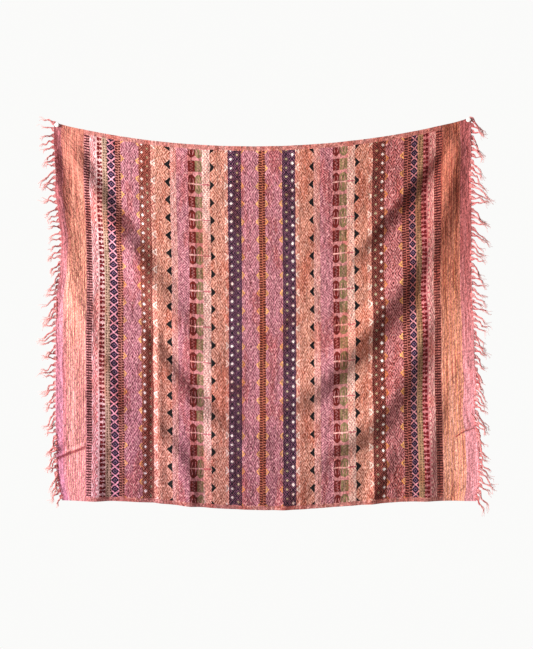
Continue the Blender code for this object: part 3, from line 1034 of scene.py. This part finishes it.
def makeCloth(fabric):
    columns = cloth["columns"]
    rows = cloth["rows"]
    across, down = np.meshgrid(
        np.linspace(0, weave["width"], columns + 1), np.linspace(0, 1, rows + 1), indexing="ij"
    )
    x, z = clothPoints(across, down)
    y = -clothLift(x, z)
    points = np.stack([x, y, z], axis=-1).reshape(-1, 3)
    corner = np.arange((columns + 1) * (rows + 1)).reshape(columns + 1, rows + 1)
    faces = np.stack(
        [corner[:-1, :-1], corner[:-1, 1:], corner[1:, 1:], corner[1:, :-1]], axis=-1
    ).reshape(-1, 4)
    cut = np.stack([across.ravel() / 1000, down.ravel() * weave["height"] / 1000], axis=-1)
    made = addMesh("woven_cloth", points.tolist(), faces.tolist(), cut, fabric)
    thick = made.modifiers.new("thickness", "SOLIDIFY")
    thick.thickness = cloth["thickness"]
    thick.offset = 0
    thick.use_even_offset = True
    bpy.ops.object.select_all(action="DESELECT")
    made.select_set(True)
    bpy.context.view_layer.objects.active = made
    bpy.ops.object.modifier_apply(modifier="thickness")
    bpy.ops.object.shade_smooth_by_angle(angle=math.radians(cloth["smoothTo"]))
    return made


clothFabric = makeClothFabric()
wovenCloth = makeCloth(clothFabric)
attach(wovenCloth, "root")
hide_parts("cloth")
print("cloth hung:", len(wovenCloth.data.polygons), "faces")


# Fringe: twisted yarns on the same lines as the solid's locks

fringe = {
    "rows": 42,
    "quadsPerRow": 3,
    "seedLeft": 7,
    "seedRight": 61,
    "angleSpread": math.radians(8),
    "lengthSpread": 0.18,
    "lanePitch": 0.0042,
    "lanes": 3,
    "yarnsPerLock": 9,
    "yarnRadius": 0.00074,
    "tipRadius": 0.00036,
    "sections": 22,
    "sides": 4,
    "twistRadius": 0.0012,
    "rootSpread": 0.0125,
    "pitch": 0.0148,
    "clumpSizes": (1, 2, 2, 3, 3, 4),
    "clumpLean": (-16, 16),
    "clumpStretch": (0.84, 1.16),
    "clumpCling": (0.3, 0.8),
    "waves": (1.0, 2.0),
    "sway": (0.0014, 0.0036),
    "turns": (1.0, 2.4),
    "reach": (0.62, 1.0),
    "splay": (-0.011, 0.011),
    "splayFrom": 0.45,
    "slack": (0.0002, 0.0018),
    "rootInset": 0.004,
    "looseRadius": 0.00085,
    "looseOff": 0.0022,
    "looseTones": (1.6, -0.3, 1.3),
}

# single ends that have slipped out over the face of the right end: (x, z) along each
looseEnds = [
    [(0.502, -0.536), (0.508, -0.531), (0.516, -0.526), (0.526, -0.523), (0.536, -0.522), (0.545, -0.521)],
    [(0.496, -0.752), (0.506, -0.744), (0.518, -0.736), (0.530, -0.731), (0.542, -0.728)],
    [(0.531, -0.690), (0.536, -0.694), (0.541, -0.700), (0.546, -0.709)],
]

# height, angle below level at the cloth and at the tip in degrees, length
fringeLeft = [
    (0.060, -55, 10, 0.048),
    (0.036, -20, 40, 0.044),
    (0.000, 10, 60, 0.042),
    (-0.050, 0, 50, 0.040),
    (-0.120, 10, 35, 0.042),
    (-0.300, 20, 50, 0.044),
    (-0.460, 35, 15, 0.045),
    (-0.560, 30, 20, 0.044),
    (-0.650, 40, 50, 0.038),
    (-0.750, 55, 45, 0.042),
    (-0.930, 62, 55, 0.046),
]
fringeRight = [
    (0.070, 45, 50, 0.060),
    (0.000, 35, 55, 0.058),
    (-0.100, 25, 45, 0.055),
    (-0.300, 30, 50, 0.054),
    (-0.420, 20, 25, 0.056),
    (-0.500, 45, 65, 0.050),
    (-0.700, 62, 60, 0.050),
    (-0.840, 50, 35, 0.044),
    (-0.930, 72, 62, 0.054),
]


def tableValue(table, at, column):
    heights = [row[0] for row in table]
    return float(easedTable(at, heights, [row[column] for row in table]))


def tube(verts, faces, cut, path, radii, tone):
    # a round yarn along a path, closed at both ends
    sides = fringe["sides"]
    first = len(verts)
    side = None
    for i, point in enumerate(path):
        along = (path[min(i + 1, len(path) - 1)] - path[max(i - 1, 0)]).normalized()
        if side is None:
            side = along.orthogonal()
        side = (side - along * side.dot(along)).normalized()
        up = along.cross(side)
        for k in range(sides):
            turn = 2 * math.pi * k / sides
            verts.append(point + (side * math.cos(turn) + up * math.sin(turn)) * radii[i])
            cut.append((i / (len(path) - 1), tone))
    for i in range(len(path) - 1):
        for k in range(sides):
            a = first + i * sides + k
            b = first + i * sides + (k + 1) % sides
            faces.append((a, b, b + sides, a + sides))
    last = first + (len(path) - 1) * sides
    faces.append(tuple(first + k for k in reversed(range(sides))))
    faces.append(tuple(last + k for k in range(sides)))


def lockPath(root, outward, start, end, length, lane):
    # the line that a lock hangs on, from the cloth's edge to its tip
    sections = fringe["sections"]
    place = root.copy()
    path = [place.copy()]
    for section in range(1, sections + 1):
        share = section / sections
        angle = start + (end - start) * share
        place = place + Vector((outward * math.cos(angle), 0, -math.sin(angle))) * length / sections
        place.y = root.y - lane * fringe["lanePitch"] * float(smoothStep(share * 1.6))
        path.append(place.copy())
    return path


def makeClumps(count, stray):
    # neighbouring locks that cling together: the middle lock, lean, stretch and cling of each
    clumps = []
    while len(clumps) < count:
        size = min(stray.choice(fringe["clumpSizes"]), count - len(clumps))
        middle = len(clumps) + (size - 1) / 2
        lean = math.radians(stray.uniform(*fringe["clumpLean"]))
        stretch = stray.uniform(*fringe["clumpStretch"])
        cling = stray.uniform(*fringe["clumpCling"])
        clumps.extend([(middle, lean, stretch, cling)] * size)
    return clumps


def makeFringe(name, outward, table, seed, fabric):
    chance = random.Random(seed)
    stray = random.Random(seed + 100)
    quads = fringe["rows"] * fringe["quadsPerRow"]
    across = 0.0 if outward < 0 else weave["width"]
    verts = []
    faces = []
    cut = []
    clumps = makeClumps(len(range(0, quads, 2)), stray)
    for number, i in enumerate(range(0, quads, 2)):
        down = np.array([(i + 0.5) / quads])
        x, z = clothPoints(np.array([across]), down)
        y = -standOff(x, z)
        edge = Vector((float(x[0]), float(y[0]), float(z[0])))
        start = math.radians(tableValue(table, edge.z, 1))
        end = math.radians(tableValue(table, edge.z, 2))
        turn = fringe["angleSpread"] * chance.uniform(-1, 1)
        length = tableValue(table, edge.z, 3) * (1 + fringe["lengthSpread"] * chance.uniform(-1, 1))
        lane = number % fringe["lanes"]
        middle, lean, stretch, cling = clumps[number]
        line = lockPath(edge, outward, start + lean, end + turn + lean * 0.4, length * stretch, lane)
        pull = Vector((0, 0, (number - middle) * fringe["pitch"] * cling))
        waves = stray.uniform(*fringe["waves"])
        phase = stray.uniform(0, 2 * math.pi)
        sway = stray.uniform(*fringe["sway"])
        turns = stray.uniform(*fringe["turns"]) * stray.choice((-1, 1))
        for yarn in range(fringe["yarnsPerLock"]):
            seat = (yarn + 0.5) / fringe["yarnsPerLock"] - 0.5
            shift = 2 * math.pi * yarn / fringe["yarnsPerLock"]
            reach = stray.uniform(*fringe["reach"])
            splay = stray.uniform(*fringe["splay"])
            slack = stray.uniform(*fringe["slack"])
            loose = stray.uniform(0, 2 * math.pi)
            tone = stray.random()
            path = []
            radii = []
            # the yarn starts inside the cloth
            path.append(edge + Vector((-outward * fringe["rootInset"], 0, seat * fringe["rootSpread"])))
            radii.append(fringe["yarnRadius"])
            for k in range(1, fringe["sections"] + 1):
                share = k / fringe["sections"] * reach
                spot = share * (len(line) - 1)
                low = min(int(spot), len(line) - 2)
                point = line[low].lerp(line[low + 1], spot - low) + pull * smoothStep(share * 1.3)
                along = (line[low + 1] - line[low]).normalized()
                high = Vector((-along.z, 0, along.x)) * outward
                gathered = float(smoothStep(share * 3))
                angle = shift + share * turns * 2 * math.pi
                twist = fringe["twistRadius"] * gathered * (1 + 0.8 * max(share - 0.6, 0))
                point = point + high * (seat * fringe["rootSpread"] * (1 - gathered))
                point = point + high * math.cos(angle) * twist + Vector((0, 1, 0)) * math.sin(angle) * twist
                point = point + high * sway * math.sin(phase + share * waves * 2 * math.pi) * gathered
                point = point + high * slack * math.sin(loose + share * 5 * math.pi) * gathered
                point = point + high * splay * max(share - fringe["splayFrom"], 0) ** 1.4 * 2
                path.append(point)
                radii.append(fringe["yarnRadius"] + (fringe["tipRadius"] - fringe["yarnRadius"]) * share)
            tube(verts, faces, cut, path, radii, tone)
    if outward > 0:
        for number, places in enumerate(looseEnds):
            places = np.array(places)
            drape = -standOff(places[:, 0], places[:, 1]) - fringe["looseOff"]
            path = [Vector((x, y, z)) for (x, z), y in zip(places.tolist(), drape.tolist())]
            radii = [fringe["looseRadius"]] * len(path)
            tube(verts, faces, cut, path, radii, fringe["looseTones"][number])
    return addMesh(name, [tuple(v) for v in verts], faces, cut, fabric)


def makeFringeYarn():
    material, tree, shader = newMaterial("fringe yarn", {"Roughness": 0.9, "Specular IOR Level": 0.2})
    layer, along, tone = readUv(tree, "cut")
    place = tree.nodes.new("ShaderNodeTexCoord")
    spun = Wire(tree, place.outputs["Object"]).noise(700.0, dimensions="3D")
    colour = tone.eased(0.0, 0.9).mix(paint(172, 62, 66), paint(236, 156, 154))
    colour = along.eased(0.30, 1.0, 0.0, 0.65).mix(colour, paint(242, 184, 178))
    colour = colour.tinted(spun.eased(0.3, 0.7, 0.78, 1.15))
    tree.links.new(colour.socket, shader.inputs["Base Color"])
    bump = along.node("ShaderNodeBump", {}, {"Height": spun, "Distance": 0.0004})
    tree.links.new(bump.socket, shader.inputs["Normal"])
    return material


fringeYarn = makeFringeYarn()
for name, outward, table, seed, node in (
    ("fringe_yarns_left", -1, fringeLeft, fringe["seedLeft"], "fringe_left"),
    ("fringe_yarns_right", 1, fringeRight, fringe["seedRight"], "fringe_right"),
):
    piece = makeFringe(name, outward, table, seed, fringeYarn)
    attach(piece, "root")
    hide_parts(node)


# Pins

pins = {
    "headRadius": 0.0060,
    "headDepth": 0.0050,
    "headBack": 0.0039,
    "rimRound": 0.0026,
    "faceRim": 0.0016,
    "faceRise": 0.00035,
    "backRound": 0.0004,
    "sides": 40,
    "smoothTo": 40,
}


def makePinPlastic():
    material, tree, shader = newMaterial("pin plastic", {})
    place = tree.nodes.new("ShaderNodeTexCoord")
    mottle = Wire(tree, place.outputs["Object"]).noise(900.0, dimensions="3D")
    colour = mottle.eased(0.3, 0.7).mix(paint(236, 234, 228), paint(248, 247, 243))
    tree.links.new(colour.socket, shader.inputs["Base Color"])
    rough = mottle.eased(0.2, 0.8, 0.26, 0.40)
    tree.links.new(rough.socket, shader.inputs["Roughness"])
    bump = mottle.node("ShaderNodeBump", {}, {"Height": mottle, "Distance": 0.00003})
    tree.links.new(bump.socket, shader.inputs["Normal"])
    return material


def makeNeedleSteel():
    material, tree, shader = newMaterial("needle steel drawn", {"Metallic": 1.0})
    place = tree.nodes.new("ShaderNodeTexCoord")
    stretch = tree.nodes.new("ShaderNodeMapping")
    stretch.inputs["Scale"].default_value = (3000, 60, 3000)
    tree.links.new(place.outputs["Object"], stretch.inputs[0])
    drawn = Wire(tree, stretch.outputs[0]).noise(1.0, dimensions="3D")
    rough = drawn.eased(0.3, 0.7, 0.22, 0.38)
    tree.links.new(rough.socket, shader.inputs["Roughness"])
    colour = drawn.eased(0.2, 0.8).mix(paint(176, 177, 180), paint(204, 205, 207))
    tree.links.new(colour.socket, shader.inputs["Base Color"])
    return material


def pickFaces(head, low, high):
    # selects only the faces whose normal has a y between the two, and stays in edit mode
    bpy.ops.mesh.select_mode(type="FACE")
    bpy.ops.mesh.select_all(action="DESELECT")
    bpy.ops.object.mode_set(mode="OBJECT")
    for face in head.data.polygons:
        face.select = low < face.normal.y < high
    bpy.ops.object.mode_set(mode="EDIT")


def makePinHead(name, place, plastic):
    # a turned head: its front rim is rounded over, the middle of its face stands a little proud
    bpy.ops.object.select_all(action="DESELECT")
    bpy.ops.mesh.primitive_cylinder_add(
        vertices=pins["sides"],
        radius=pins["headRadius"],
        depth=pins["headDepth"],
        location=(place[0], -pins["headBack"] - pins["headDepth"] / 2, place[1]),
        rotation=(math.radians(90), 0, 0),
    )
    head = bpy.context.object
    head.name = name
    bpy.ops.object.transform_apply(location=True, rotation=True, scale=True)
    bpy.ops.object.mode_set(mode="EDIT")
    pickFaces(head, -2, -0.9)
    bpy.ops.mesh.region_to_loop()
    bpy.ops.mesh.bevel(offset=pins["rimRound"], segments=7, profile=0.5, affect="EDGES")
    pickFaces(head, -2, -0.999)
    bpy.ops.mesh.inset(thickness=pins["faceRim"])
    bpy.ops.transform.translate(value=(0, -pins["faceRise"], 0))
    pickFaces(head, 0.9, 2)
    bpy.ops.mesh.region_to_loop()
    bpy.ops.mesh.bevel(offset=pins["backRound"], segments=2, affect="EDGES")
    bpy.ops.object.mode_set(mode="OBJECT")
    bpy.ops.object.shade_smooth_by_angle(angle=math.radians(pins["smoothTo"]))
    head.data.materials.clear()
    head.data.materials.append(plastic)
    return head


pinPlastic = makePinPlastic()
needleSteel = makeNeedleSteel()
for name, place in zip(("left_pin", "right_pin"), pinPlaces):
    head = makePinHead(name + "_dome", place, pinPlastic)
    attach(head, "root")
    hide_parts(name + "_head")
    needle = cadNodes[name + "_needle"]
    for slot in needle.material_slots:
        slot.material = needleSteel
print("pins set")
